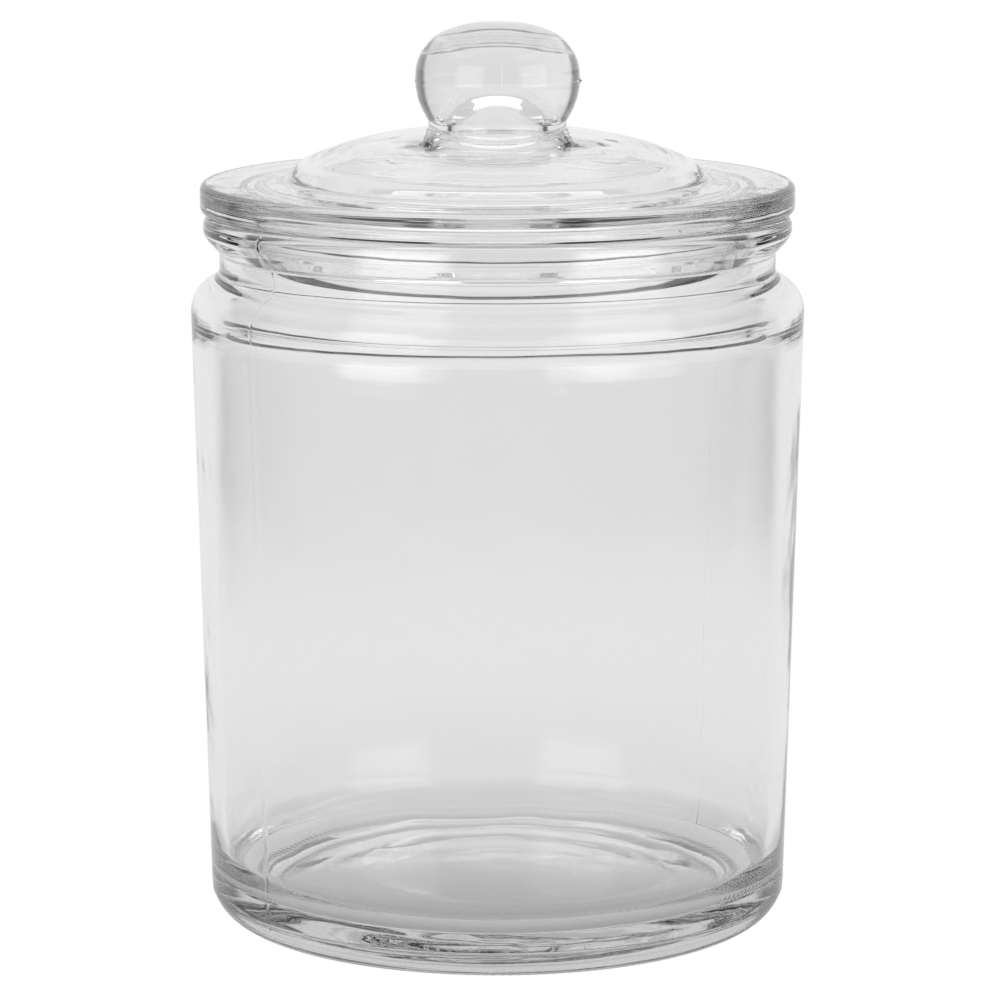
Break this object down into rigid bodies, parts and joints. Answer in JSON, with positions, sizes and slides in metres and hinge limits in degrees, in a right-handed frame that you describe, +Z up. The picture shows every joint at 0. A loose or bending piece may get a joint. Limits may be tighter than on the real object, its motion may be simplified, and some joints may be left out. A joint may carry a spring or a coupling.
{
  "type": "lidded glass canister",
  "caption": "Clear glass canister: a tapered round jar with a rounded shoulder and beaded mouth, under a loose domed lid with a hollow ball knob that lifts off.",
  "frame": {"origin": "middle of the foot, in the plane that the foot ring stands on", "axes": "+Z up along the axis that the jar and its lid share; any horizontal direction is equal"},
  "size_m": [0.1508, 0.1508, 0.2223],
  "materials": {
    "jar_glass": "clear colourless blown glass, fire-polished, faintly uneven inside",
    "lid_glass": "clear colourless pressed glass, fire-polished"
  },
  "bodies": {
    "jar": {"jar": "jar_glass"},
    "lid": {"lid": "lid_glass"}
  },
  "joints": [
    {"name": "lid_lift", "type": "slide", "parent": "jar", "child": "lid", "axis": [0, 0, 1], "range_m": [0, 0.08]}
  ]
}
